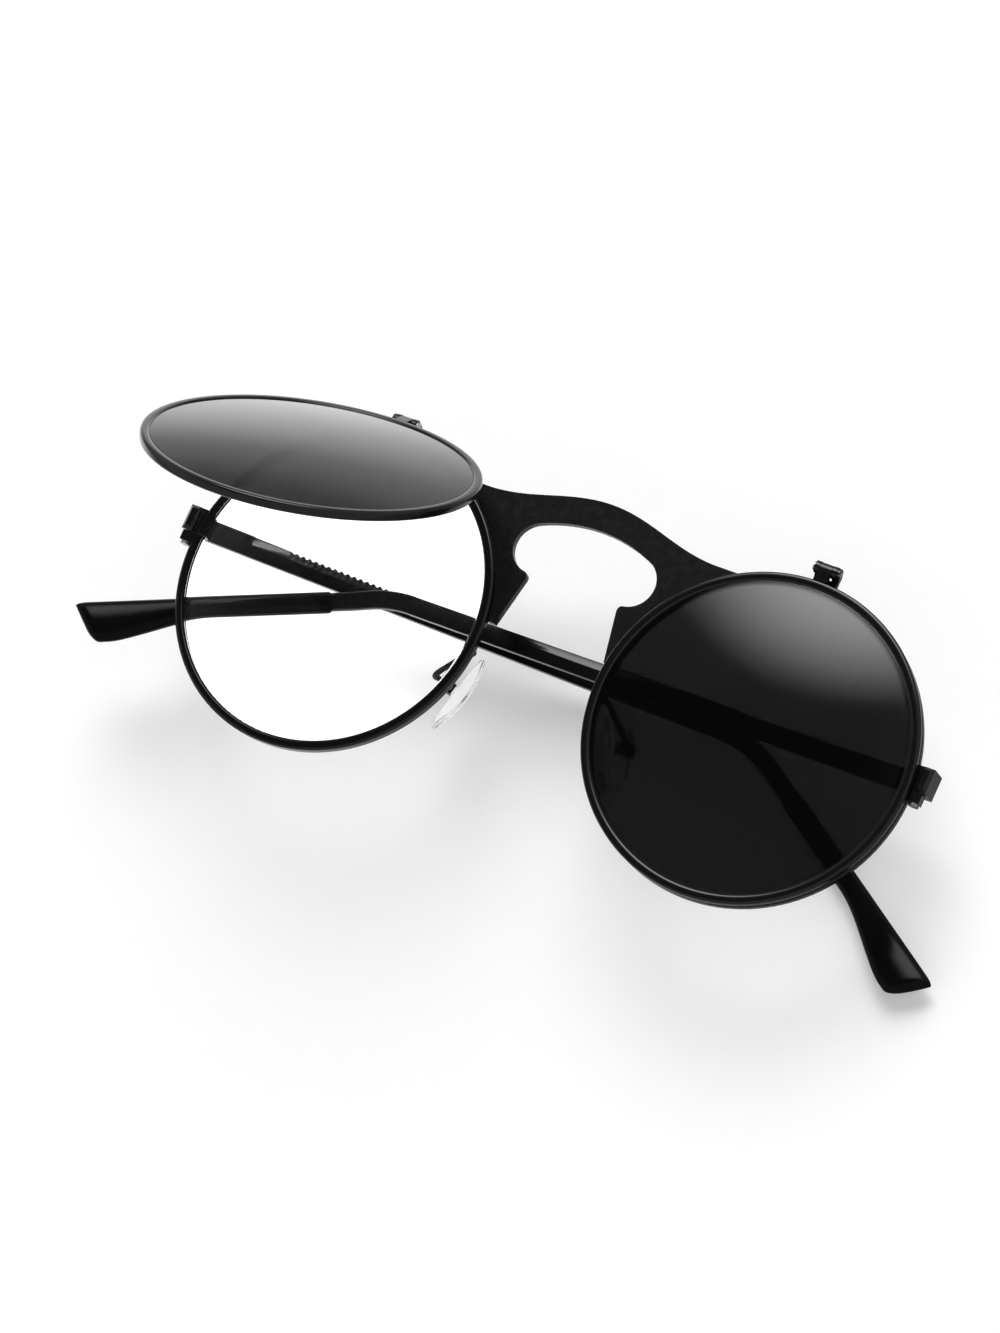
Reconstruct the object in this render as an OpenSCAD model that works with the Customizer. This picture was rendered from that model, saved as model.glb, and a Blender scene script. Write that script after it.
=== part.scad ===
// Flip up sunglasses lying folded, lenses up, the wearer's right flip frame raised.
// X runs to the wearer's left, Y to the top of the glasses, Z out of the front.
// The origin is on the front face of the bridge plate, midway between the lenses.

/* [Front] */
// Distance between the two lens centres
lens_pitch = 73; // [70:0.5:78]
// Outside radius of a main rim
rim_r = 26; // [24:0.25:27]
// Radial width of the rim wire
rim_w = 1.6; // [1.2:0.1:2.2]
// Depth of the rim wire from front to back
rim_d = 1.8; // [1.4:0.1:2.2]
// Backward turn of each lens about the vertical
wrap = 2.8; // [0:0.2:4]
// Radius of the lens dome
dome_r = 150; // [90:5:300]
// Thickness of a clear lens
lens_t = 1.5; // [1:0.1:1.8]

/* [Bridge] */
// Thickness of the bridge plate
bridge_t = 1.2; // [0.8:0.1:1.6]
// Height of the brow line above the lens centres
brow_y = 26.9; // [25:0.1:29]
// Drop of the brow line from the middle to its ends
brow_drop = 3.6; // [1:0.1:5]
// Height of the top of the nose window
window_top = 22.4; // [21:0.1:24]
// Corner radius of the nose window
window_r = 4.1; // [2.5:0.1:4.8]
// Thickness of the bridge beside the window at its widest
window_wall = 1.6; // [1:0.1:3]
// Height at which the legs of the bridge end
foot_y = 3.4; // [1:0.1:6]
// How far the ends of the plate reach out over the tops of the rims
plate_reach = 14.5; // [10:0.5:16]
// Rise of the curved top edge of the nose window
window_rise = 1.65; // [1:0.05:2.4]
// Depth of the step along the plate's edges that keeps it clear of the flip rims
plate_step = 0.2; // [0.1:0.05:0.4]

/* [Flip frames] */
// Depth of a flip rim from front to back
flip_d = 1.6; // [1.2:0.1:2]
// Radial width of a flip rim
flip_w = 1.5; // [1.2:0.1:2]
// How much larger than the main rim a flip rim is
flip_over = 0.1; // [0:0.05:0.5]
// Air between a closed flip rim and the main rim
flip_gap = 0.3; // [0.2:0.05:0.8]
// Thickness of a tinted lens
tint_t = 1.1; // [0.8:0.1:1.4]
// Angle at which the right flip frame stands open
right_flip_open = 56.2; // [0:1:88]
// Angle at which the left flip frame stands open
left_flip_open = 0; // [0:1:88]
// Height of the flip hinge above the edge of the main rim
flip_axis_up = 2.2; // [2:0.1:3]
// Width of the flip hinge across its ears
flip_hinge_w = 3.6; // [3.6:0.1:5]

/* [Temples] */
// Height of the temple hinge above the lens centres
hinge_y = 3.4; // [2.6:0.1:5]
// Height of a temple at the hinge
temple_h = 3.4; // [2.8:0.1:4]
// Height of a temple at the bend
temple_end_h = 2.9; // [2.2:0.1:3.4]
// Thickness of a temple
temple_t = 1.2; // [1:0.1:1.6]
// Length from the hinge to the corner of the bend
temple_l = 93; // [85:1:98]
// Length from the corner of the bend to the end of the tip
tip_l = 50; // [40:1:56]
// Downward bend of the left temple
left_bend = 24; // [20:1:36]
// Downward bend of the right temple
right_bend = 33; // [24:1:36]
// Bend of both tips towards the head
tip_turn = 8; // [0:1:10]
// Angle by which the right temple, folded last, stands off the front
right_temple_open = 6.8; // [6.8:0.2:12]
// Angle by which the left temple, folded first, stands off the front
left_temple_open = 0.8; // [0.8:0.1:1.2]
// Width of a temple tip at its end
paddle_w = 6.6; // [4.6:0.1:7]
// Thickness of a temple tip
sleeve_t = 2.6; // [2.2:0.1:2.8]

/* [Temple hinge] */
// Radius of the hinge knuckles
knuckle_r = 1.1; // [0.9:0.05:1.2]
// Radius of the hinge screw
hinge_screw_r = 0.5; // [0.4:0.05:0.6]
// Wall of the end piece outside the hinge
end_wall = 1.2; // [1:0.1:1.6]
// Height of the end piece
end_h = 4; // [3.6:0.1:5]
// Distance of the hinge screw behind the middle of the rims
hinge_back = 4.2; // [4.1:0.1:5]
// Distance of the hinge screw from the outer edge of the rim
hinge_in = 0.05; // [-0.2:0.05:0.4]

/* [Nose pads] */
// Length of a nose pad
pad_l = 13; // [10:0.5:15]
// Width of a nose pad
pad_w = 7; // [5:0.5:8]
// Thickness of a nose pad
pad_t = 2; // [1.6:0.1:2.4]
// Lean of a pad, wider apart at the bottom
pad_lean = 14; // [5:1:20]
// Splay of a pad, wider apart at the back
pad_splay = 22; // [10:1:30]
// Radius of the pad arm wire
arm_r = 0.5; // [0.35:0.05:0.55]

/* [Fits] */
// Running clearance of pins and screws in their holes
run_fit = 0.03; // [0.02:0.01:0.06]
// Gap between faces that move past each other
side_gap = 0.1; // [0.05:0.05:0.15]
// Gap left for solder between fixed pieces
solder = 0.02; // [0.01:0.01:0.04]

/* [Hidden] */
$fn = 96;
far = 60;

metal = [0.07, 0.07, 0.08];
bright = [0.6, 0.6, 0.62];
tint = [0.16, 0.16, 0.17];
clear = [0.85, 0.88, 0.9];

// Lens seats
groove = 0.4;
bevel_play = 0.05;
lens_x = lens_pitch / 2;
rim_in = rim_r - rim_w;
flip_r = rim_r + flip_over;
flip_in = flip_r - flip_w;
flip_z = rim_d / 2 + flip_gap + flip_d / 2;
gap_x = lens_x - rim_r;

// Bridge plate, its front face level with the front of the rims' outer edges
bridge_z = 1.3;
brow_half = gap_x + 9.5;
window_half = gap_x + window_wall;
window_x = window_half - window_r;
window_y = window_top - window_rise - window_r;
window_arc_r = (window_x * window_x + window_rise * window_rise) / (2 * window_rise) + window_r;
waist_half = gap_x - 2.6;
foot_half = gap_x - 1;
heel_r = 0.8;
heel_y = window_y - sqrt(pow(window_r + heel_r, 2) - pow(waist_half + heel_r - window_x, 2));
step_over = 0.15;

// Flip hinge, in the turned plane of a lens
flip_axis_y = rim_r + flip_axis_up;
flip_axis_z = flip_z - 0.25;
ear_t = 0.7;
ear_r = 1;
flip_pin_r = 0.45;
clip_t = 0.45;
clip_gap = 0.06;
barrel_r = 0.95;
tab_t = 0.9;

// Temple hinge
hinge_x = lens_x + rim_r - hinge_in;
hinge_z = -hinge_back;
bar_in = knuckle_r + 0.05;
bar_out = bar_in + temple_t;
knuckle_h = temple_h * 0.36;
leaf_t = 0.65;
leaf_l = 5;
end_x = hinge_x + bar_in + end_wall;

// Rim screw
rim_screw_r = 0.5;
rim_screw_x = rim_r + 1;
lug_w = 1.9;
lug_h = 1.6;
lug_y = hinge_y - end_h / 2 - 0.1;

// Nose pads
pad_x = gap_x + 2.9;
pad_y = -7.1;
pad_z = -7.7;
pad_pivot = pad_t / 2 + 1.4;
pad_screw_r = 0.35;
lug_t = 1.4;
cheek_t = 0.5;
arm_rim_angle = 183.5;

// Temple bend
bend_r = 18;
turn_r = 25;
overlap = 0.2;
step = 0.02;
stub_l = 2;
core_l = tip_l * 0.6;
core_h = 1.8;
core_t = 0.9;

// Moves the model so that its origin is on the front face of the bridge
module at_origin() {
    translate([0, -(window_top + brow_y) / 2, -bridge_z]) children();
}

// Draws a piece for the left side at +X, or its mirror image for the right side
module on_side(side) {
    mirror([side > 0 ? 0 : 1, 0, 0]) children();
}

// Places a piece on the turned plane of a lens, with the lens centre at zero
module lens_frame() {
    translate([lens_x, 0, 0]) rotate([0, wrap, 0]) children();
}

// Turns a flip frame about its hinge to its open angle
module flip_frame(side) {
    open = side > 0 ? left_flip_open : right_flip_open;
    lens_frame()
        translate([0, flip_axis_y, flip_axis_z])
            rotate([-open, 0, 0])
                translate([0, -flip_axis_y, -flip_axis_z])
                    children();
}

// Places a temple with its length along local X and its outer face at +Z
module temple_frame(side) {
    open = side > 0 ? left_temple_open : right_temple_open;
    translate([hinge_x, hinge_y, hinge_z]) rotate([0, 180 - open, 0]) children();
}

// Places a nose pad with its back at +X, its top at +Y and its front edge at +Z
module pad_frame() {
    translate([pad_x, pad_y, pad_z]) rotate([0, 0, pad_lean]) rotate([0, -pad_splay, 0]) children();
}

// A cylinder along Y between two heights
module y_cylinder(r, low, high) {
    translate([0, high, 0]) rotate([90, 0, 0]) cylinder(r = r, h = high - low);
}

// A cylinder along X between two places
module x_cylinder(r, low, high) {
    translate([low, 0, 0]) rotate([0, 90, 0]) cylinder(r = r, h = high - low);
}

// A wire between two points with round ends
module wire(a, b, r) {
    d = b - a;
    l = norm(d);
    translate(a) rotate([0, acos(d[2] / l), atan2(d[1], d[0])]) cylinder(r = r, h = l);
    for (end = [a, b]) translate(end) sphere(r + 0.03);
}

// A rectangle with round corners, centred on zero
module round_rect(w, h, r) {
    square([w - 2 * r, h], center = true);
    square([w, h - 2 * r], center = true);
    for (x = [-1, 1], y = [-1, 1])
        translate([x * (w / 2 - r), y * (h / 2 - r)]) circle(r);
}

// A grooved ring of rim wire about Z, with its outside at radius r
module rim_ring(r, w, d) {
    rotate_extrude()
        difference() {
            translate([r - w / 2, 0]) round_rect(w, d, 0.5);
            polygon([
                [r - w - 1, -groove - 1],
                [r - w + groove, 0],
                [r - w - 1, groove + 1]
            ]);
        }
}

// A domed lens whose bevelled edge sits in a rim of inside radius r
module domed_lens(r, t) {
    edge = r - bevel_play;
    sag = dome_r - sqrt(dome_r * dome_r - edge * edge);
    intersection() {
        union() {
            translate([0, 0, -t]) cylinder(r = edge, h = t + sag + 1);
            rotate_extrude()
                polygon([[edge - 1, -groove], [edge, -groove], [edge + groove, 0], [edge, groove], [edge - 1, groove]]);
        }
        difference() {
            translate([0, 0, sag + t / 2 - dome_r]) sphere(dome_r, $fn = 200);
            translate([0, 0, sag - t / 2 - dome_r]) sphere(dome_r, $fn = 200);
        }
    }
}

// The height of the brow line at distance x from the middle
function brow(x) = brow_y - brow_drop * (1 - cos(180 * min(x, brow_half) / brow_half)) / 2;

// The bridge plate's outline, without the cuts for the rims and the nose
module bridge_blank() {
    steps = 20;
    end = gap_x + plate_reach;
    polygon(concat(
        [[-end, foot_y], [-end, brow(end)]],
        [for (i = [-steps : steps]) [brow_half * i / steps, brow(brow_half * abs(i) / steps)]],
        [[end, brow(end)], [end, foot_y]]
    ));
}

// The opening of the bridge over the nose
module nose_opening() {
    arc_y = window_top - window_arc_r;
    reach = 2 * (window_y - arc_y);
    for (side = [-1, 1]) mirror([side > 0 ? 0 : 1, 0]) {
        translate([window_x, window_y]) circle(window_r);
        // The corner between the window and the leg is round
        difference() {
            polygon([
                [waist_half + heel_r, heel_y], [waist_half, heel_y],
                [waist_half, window_y], [window_x, window_y]
            ]);
            translate([waist_half + heel_r, heel_y]) circle(heel_r);
        }
    }
    // The top edge is an arc that runs smoothly into both round ends
    intersection() {
        translate([0, arc_y]) circle(window_arc_r);
        polygon([[0, arc_y], [2 * window_x, arc_y + reach], [-2 * window_x, arc_y + reach]]);
    }
    translate([-window_x, window_y - window_r]) square([2 * window_x, window_r * 2]);
    polygon([
        [-foot_half, foot_y - 1], [-foot_half, foot_y], [-waist_half, window_y - window_r - 1],
        [-waist_half, window_y], [waist_half, window_y],
        [waist_half, window_y - window_r - 1], [foot_half, foot_y], [foot_half, foot_y - 1]
    ]);
}

module bridge() {
    color(metal)
        difference() {
            translate([0, 0, bridge_z - bridge_t])
                linear_extrude(bridge_t)
                    difference() {
                        bridge_blank();
                        nose_opening();
                    }
            for (side = [-1, 1]) {
                on_side(side) lens_frame()
                    translate([0, 0, -far / 2]) cylinder(r = rim_r + solder, h = far);
                // The step under the edge of the flip rim
                intersection() {
                    on_side(side) lens_frame()
                        translate([0, 0, -far / 2]) cylinder(r = flip_r + step_over, h = far);
                    translate([-far, -far, bridge_z - plate_step]) cube([2 * far, 2 * far, far]);
                }
            }
        }
}

module rim(side) {
    color(metal) on_side(side) lens_frame()
        difference() {
            union() {
                rim_ring(rim_r, rim_w, rim_d);
                translate([rim_r - 0.6, lug_y - lug_h, -rim_d / 2]) cube([lug_w + 0.6, lug_h, rim_d]);
            }
            // The rim opens here so that the lens can be changed
            translate([rim_r - 3, lug_y, -rim_d]) cube([6, 0.1, 2 * rim_d]);
            translate([rim_screw_x, 0, 0]) y_cylinder(rim_screw_r + run_fit, lug_y - 3, lug_y + 1);
            translate([0, 0, -far / 2]) cylinder(r = rim_in - 0.001, h = far);
        }
}

module lens(side) {
    color(clear, 0.35) on_side(side) lens_frame() domed_lens(rim_in, lens_t);
}

// The end piece is a bracket with a flat front and a wall that runs back to the hinge
module endpiece(side) {
    front_z = 0.2;
    under_flip_z = -rim_d / 2 + 0.45 - 0.1;
    chamfer = 0.5;
    low = hinge_y - end_h / 2;
    color(metal) on_side(side)
        difference() {
            intersection() {
                translate([0, low + end_h, 0]) rotate([90, 0, 0])
                        linear_extrude(end_h)
                            polygon([
                                [lens_x + rim_r - 0.6, -rim_d - 0.4],
                                [lens_x + rim_r - 0.6, under_flip_z],
                                [lens_x + rim_r + 0.35, under_flip_z],
                                [lens_x + rim_r + 0.35 + 0.45, front_z],
                                [end_x - chamfer, front_z],
                                [end_x, front_z - chamfer],
                                [end_x, hinge_z + side_gap / 2],
                                [end_x - end_wall, hinge_z + side_gap / 2],
                                [end_x - end_wall, -rim_d - 0.4]
                            ]);
                translate([lens_x, 0, 0]) rotate([0, 90, 0])
                    linear_extrude(far)
                        polygon([
                            [-front_z, low + chamfer],
                            [-front_z, low + end_h - chamfer],
                            [-front_z + chamfer, low + end_h],
                            [hinge_back, low + end_h],
                            [hinge_back, low],
                            [-front_z + chamfer, low]
                        ]);
            }
            lens_frame() {
                translate([0, 0, -far / 2]) cylinder(r = rim_r + solder, h = far);
                translate([rim_screw_x, 0, 0]) y_cylinder(rim_screw_r + run_fit, low - 1, low + 2.2);
            }
        }
}

module rim_screw(side) {
    low = lug_y - lug_h;
    color(bright) on_side(side) lens_frame()
        translate([rim_screw_x, 0, 0])
            difference() {
                union() {
                    y_cylinder(rim_screw_r, low - 0.4, hinge_y - end_h / 2 + 2);
                    y_cylinder(rim_screw_r + 0.35, low - 0.5, low - solder);
                }
                translate([-1.5, low - 0.6, -0.12]) cube([3, 0.3, 0.24]);
            }
}

// The two outer knuckles of the temple hinge and the block that joins them to the end piece
module front_hinge(side) {
    block_z = hinge_back - rim_d - 0.4 - solder;
    color(metal) on_side(side)
        translate([hinge_x, hinge_y, hinge_z])
            difference() {
                union() {
                    y_cylinder(knuckle_r, -temple_h / 2, temple_h / 2);
                    translate([-knuckle_r, -temple_h / 2, 0])
                        cube([knuckle_r + bar_in - solder, temple_h, block_z]);
                }
                translate([-far, -knuckle_h / 2, -far]) cube([2 * far, knuckle_h, far]);
                y_cylinder(knuckle_r + side_gap, -knuckle_h / 2, knuckle_h / 2);
                translate([-far, -knuckle_h / 2, -0.01]) cube([2 * far, knuckle_h, 0.6]);
                y_cylinder(hinge_screw_r + run_fit, -far, far);
            }
}

module hinge_screw(side) {
    top = temple_h / 2;
    color(bright) on_side(side)
        translate([hinge_x, hinge_y, hinge_z])
            difference() {
                union() {
                    y_cylinder(hinge_screw_r, -top, top + 0.1);
                    y_cylinder(hinge_screw_r + 0.4, top + solder, top + 0.5);
                }
                translate([-1.5, top + 0.25, -0.12]) cube([3, 1, 0.24]);
            }
}

// The middle knuckle of the temple hinge and the leaf that is fixed to the temple
module temple_hinge(side) {
    k = knuckle_h / 2 - side_gap / 2;
    leaf_h = temple_h - 0.5;
    color(metal) on_side(side) temple_frame(side)
        difference() {
            union() {
                y_cylinder(knuckle_r, -k, k);
                translate([0, -k, bar_in - leaf_t]) cube([2, 2 * k, leaf_t - solder]);
                translate([knuckle_r + 0.3, -leaf_h / 2, bar_in - leaf_t])
                    cube([leaf_l, leaf_h, leaf_t - solder]);
            }
            y_cylinder(hinge_screw_r + run_fit, -far, far);
        }
}

// Follows the bend of a temple and places its children after the bend
module after_bend(bend) {
    translate([temple_l - bend_r * tan(bend / 2), -bend_r, (bar_in + bar_out) / 2])
        rotate([0, 0, -bend])
            translate([0, bend_r, 0])
                children();
}

// Follows the turn of a tip towards the head and places its children after it
module after_turn() {
    translate([0, 0, -turn_r]) rotate([0, tip_turn, 0]) translate([0, 0, turn_r]) children();
}

// The angle by which a temple bends down, and the length of its straight bar
function bend_of(side) = side > 0 ? left_bend : right_bend;
function bar_length(side) = temple_l - bend_r * tan(bend_of(side) / 2);

// The front part of a temple is a flat tapering bar with a ridge along its inside
module temple(side) {
    bar_l = bar_length(side);
    top = temple_h / 2;
    ridge = top - 0.43 * temple_h;
    plain_l = knuckle_r + 0.3 + leaf_l + 1;
    color(metal) on_side(side) temple_frame(side)
        intersection() {
            linear_extrude(bar_out)
                polygon([
                    [side_gap / 2, -top], [side_gap / 2, top],
                    [bar_l - solder, temple_end_h / 2], [bar_l - solder, -temple_end_h / 2]
                ]);
            union() {
                rotate([90, 0, 90])
                    linear_extrude(bar_l + 1)
                        polygon([
                            [-top, bar_out], [top, bar_out], [top, bar_in + 0.45],
                            [ridge, bar_in], [-top, bar_in + 0.1]
                        ]);
                translate([0, -top, bar_in]) cube([plain_l, temple_h, temple_t]);
            }
        }
}

// The core is soldered to the end of the bar, bends down, turns in and runs inside the tip
module temple_core(side) {
    bend = bend_of(side);
    color(metal) on_side(side) temple_frame(side) {
        translate([bar_length(side), -bend_r, (bar_in + bar_out) / 2])
            rotate([0, 0, 90 - bend])
                rotate_extrude(angle = bend)
                    translate([bend_r, 0]) round_rect(temple_end_h - step, temple_t - step, 0.3);
        after_bend(bend) {
            if (tip_turn > 0)
                translate([0, 0, -turn_r])
                    rotate([-90, 0, 0]) rotate([0, 0, -90])
                        rotate_extrude(angle = tip_turn)
                            translate([turn_r, 0]) round_rect(temple_t - 2 * step, temple_end_h - 2 * step, 0.3);
            after_turn() {
                translate([-overlap, 0, 0]) rotate([90, 0, 90])
                    linear_extrude(stub_l + overlap) round_rect(temple_end_h - 3 * step, temple_t - 3 * step, 0.3);
                translate([stub_l - overlap, -core_h / 2, -core_t / 2]) cube([core_l + overlap, core_h, core_t]);
            }
        }
    }
}

// A disc with a round edge, used to shape the temple tips
module pebble(r, t) {
    rotate_extrude($fn = 32)
        union() {
            translate([max(r - t / 2, 0.01), 0]) intersection() {
                circle(t / 2, $fn = 16);
                translate([0, -t]) square([t, 2 * t]);
            }
            translate([0, -t / 2]) square([max(r - t / 2, 0.01), t]);
        }
}

// The plastic tip starts narrow, widens downwards and ends in a slanted cut
module temple_tip(side) {
    bend = bend_of(side);
    used = bend_r * tan(bend / 2) + turn_r * tip_turn * PI / 180;
    start_r = temple_end_h / 2 + 0.2;
    top = start_r;
    end_u = tip_l - used;
    mid_u = end_u * 0.55;
    corner = 1.5;
    heel = 1.8;
    slant = 2.2;
    color(metal) on_side(side) temple_frame(side) after_bend(bend) after_turn()
        difference() {
            union() {
                hull() {
                    translate([1.5 + start_r, 0, 0]) pebble(start_r, sleeve_t);
                    translate([mid_u, top - 2, 0]) pebble(2, sleeve_t);
                }
                hull() {
                    translate([mid_u, top - 2, 0]) pebble(2, sleeve_t);
                    translate([end_u - corner, top - corner, 0]) pebble(corner, sleeve_t);
                    translate([end_u - slant - heel, top - paddle_w + heel, 0]) pebble(heel, sleeve_t);
                }
            }
            translate([0, -core_h / 2 - solder, -core_t / 2 - solder])
                cube([stub_l + core_l + solder, core_h + 2 * solder, core_t + 2 * solder]);
            translate([-1, -3, -3]) cube([stub_l + 1 + solder, 6, 6]);
        }
}

// A pad arm is a wire soldered to the back of the rim that ends in a small open box
module pad_arm(side) {
    start = [lens_x + (rim_r - rim_w / 2) * cos(arm_rim_angle), (rim_r - rim_w / 2) * sin(arm_rim_angle), 0.15];
    box = [pad_x + 2.9, pad_y + 0.7, pad_z + 1.6];
    path = [start, start + [1.2, -0.6, -2.2], start + [3.8, -3, -3], box + [0.6, 0.2, 2.2], box + [0.25, 0.1, 0.6]];
    color(metal) on_side(side)
        difference() {
            union() {
                for (i = [0 : len(path) - 2]) wire(path[i], path[i + 1], arm_r);
                pad_frame()
                    translate([pad_pivot - 0.9, -0.9, -lug_t / 2 - side_gap - cheek_t])
                        cube([2.2, 1.8, lug_t + 2 * side_gap + 2 * cheek_t]);
            }
            pad_frame() {
                translate([pad_pivot - 3, -2, -lug_t / 2 - side_gap])
                    cube([4.1, 4, lug_t + 2 * side_gap]);
                translate([pad_pivot, 0, -pad_w]) cylinder(r = pad_screw_r + run_fit, h = 2 * pad_w);
            }
            lens_frame() translate([0, 0, -rim_d / 2 - solder]) cylinder(r = far, h = far);
        }
}

module pad_screw(side) {
    half = lug_t / 2 + side_gap + cheek_t;
    color(bright) on_side(side) pad_frame()
        translate([pad_pivot, 0, 0])
            difference() {
                union() {
                    translate([0, 0, -half - 0.2]) cylinder(r = pad_screw_r, h = 2 * half + 0.3);
                    translate([0, 0, half + solder]) cylinder(r = pad_screw_r + 0.3, h = 0.35);
                }
                translate([-1, -0.1, half + 0.22]) cube([2, 0.2, 1]);
            }
}

// A nose pad is a soft domed plate with a small lug on its back
module nose_pad(side) {
    r = pad_w / 2;
    face_r = 18;
    color(clear, 0.6) on_side(side) pad_frame()
        difference() {
            union() {
                intersection() {
                    rotate([0, 90, 0]) translate([0, 0, -pad_t / 2]) linear_extrude(pad_t) {
                        for (y = [-1, 1]) translate([0, y * (pad_l / 2 - r)]) circle(r);
                        square([pad_w, pad_l - pad_w], center = true);
                    }
                    translate([face_r - pad_t / 2, 0, 0]) sphere(face_r, $fn = 200);
                }
                translate([0, -0.7, -lug_t / 2]) cube([pad_pivot + 0.7, 1.4, lug_t]);
            }
            translate([pad_pivot, 0, -pad_w]) cylinder(r = pad_screw_r + run_fit, h = 2 * pad_w);
        }
}

// The bracket stands on top of the rim with an ear at each end
module flip_bracket(side) {
    half = flip_hinge_w / 2;
    base_y = flip_axis_y - ear_r - side_gap - 0.05;
    color(metal) on_side(side) lens_frame()
        difference() {
            union() {
                translate([-half, rim_r - 0.4, -rim_d / 2]) cube([flip_hinge_w, base_y - rim_r + 0.4, rim_d]);
                for (x = [-half, half - ear_t]) translate([x, 0, 0]) {
                    translate([0, flip_axis_y, flip_axis_z]) x_cylinder(ear_r, 0, ear_t);
                    rotate([90, 0, 90]) linear_extrude(ear_t)
                        polygon([
                            [base_y - 0.5, -rim_d / 2], [flip_axis_y + 0.35, -rim_d / 2],
                            [flip_axis_y + ear_r * 0.9, flip_axis_z - 0.5], [flip_axis_y, flip_axis_z],
                            [flip_axis_y - ear_r * 0.7, flip_axis_z - 0.3], [base_y - 0.5, rim_d / 2 - 0.3]
                        ]);
                }
            }
            translate([0, 0, -far / 2]) cylinder(r = rim_r + solder, h = far);
            translate([0, flip_axis_y, flip_axis_z]) x_cylinder(flip_pin_r + run_fit, -far, far);
            translate([-half + ear_t, flip_axis_y, flip_axis_z]) x_cylinder(barrel_r + 0.2, 0, flip_hinge_w - 2 * ear_t);
        }
}

module flip_pin(side) {
    half = flip_hinge_w / 2;
    color(bright) on_side(side) lens_frame()
        translate([0, flip_axis_y, flip_axis_z]) {
            x_cylinder(flip_pin_r, -half - 0.1, half + clip_gap + clip_t + 0.1);
            x_cylinder(flip_pin_r + 0.25, -half - 0.3, -half - solder);
        }
}

// A C-shaped clip round the end of the pin, with a leg down the side of the bracket
module flip_spring(side) {
    inner = flip_pin_r + clip_gap;
    outer = inner + 0.4;
    x = flip_hinge_w / 2 + clip_gap;
    color(metal) on_side(side) lens_frame()
        translate([x, flip_axis_y, flip_axis_z]) {
            rotate([90, 0, 90])
                rotate([0, 0, 195])
                    rotate_extrude(angle = 275)
                        translate([inner, 0]) square([outer - inner, clip_t]);
            translate([0, -flip_axis_up + 0.25, -outer]) cube([clip_t, flip_axis_up - 0.25, 0.4]);
        }
}

// The barrel turns between the ears and its tab is soldered to the top of the flip rim
module flip_knuckle(side) {
    half = flip_hinge_w / 2 - ear_t - side_gap;
    color(metal) on_side(side) flip_frame(side)
        difference() {
            union() {
                translate([0, flip_axis_y, flip_axis_z]) x_cylinder(barrel_r, -half, half);
                translate([-half, flip_r - 0.6, flip_axis_z + barrel_r - tab_t])
                    cube([2 * half, flip_axis_up + 0.6 - flip_over, tab_t]);
            }
            translate([0, 0, -far / 2]) cylinder(r = flip_r + solder, h = far);
            translate([0, flip_axis_y, flip_axis_z]) x_cylinder(flip_pin_r + run_fit, -far, far);
        }
}

module flip_rim(side) {
    color(metal) on_side(side) flip_frame(side)
        translate([0, 0, flip_z]) rim_ring(flip_r, flip_w, flip_d);
}

module flip_lens(side) {
    color(tint, 0.8) on_side(side) flip_frame(side)
        translate([0, 0, flip_z]) domed_lens(flip_in, tint_t);
}

at_origin() bridge();
at_origin() rim(-1);  // right_rim
at_origin() rim(1);  // left_rim
at_origin() lens(-1);  // right_lens
at_origin() lens(1);  // left_lens
at_origin() endpiece(-1);  // right_endpiece
at_origin() endpiece(1);  // left_endpiece
at_origin() rim_screw(-1);  // right_rim_screw
at_origin() rim_screw(1);  // left_rim_screw
at_origin() pad_arm(-1);  // right_pad_arm
at_origin() pad_arm(1);  // left_pad_arm
at_origin() pad_screw(-1);  // right_pad_screw
at_origin() pad_screw(1);  // left_pad_screw
at_origin() nose_pad(-1);  // right_nose_pad
at_origin() nose_pad(1);  // left_nose_pad
at_origin() front_hinge(-1);  // right_front_hinge
at_origin() front_hinge(1);  // left_front_hinge
at_origin() hinge_screw(-1);  // right_hinge_screw
at_origin() hinge_screw(1);  // left_hinge_screw
at_origin() temple_hinge(-1);  // right_temple_hinge
at_origin() temple_hinge(1);  // left_temple_hinge
at_origin() temple(-1);  // right_temple
at_origin() temple(1);  // left_temple
at_origin() temple_core(-1);  // right_temple_core
at_origin() temple_core(1);  // left_temple_core
at_origin() temple_tip(-1);  // right_temple_tip
at_origin() temple_tip(1);  // left_temple_tip
at_origin() flip_bracket(-1);  // right_flip_bracket
at_origin() flip_bracket(1);  // left_flip_bracket
at_origin() flip_pin(-1);  // right_flip_pin
at_origin() flip_pin(1);  // left_flip_pin
at_origin() flip_spring(-1);  // right_flip_spring
at_origin() flip_spring(1);  // left_flip_spring
at_origin() flip_knuckle(-1);  // right_flip_knuckle
at_origin() flip_knuckle(1);  // left_flip_knuckle
at_origin() flip_rim(-1);  // right_flip_rim
at_origin() flip_rim(1);  // left_flip_rim
at_origin() flip_lens(-1);  // right_flip_lens
at_origin() flip_lens(1);  // left_flip_lens
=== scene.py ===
import bpy
import numpy as np
from mathutils import Matrix, Vector


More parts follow.
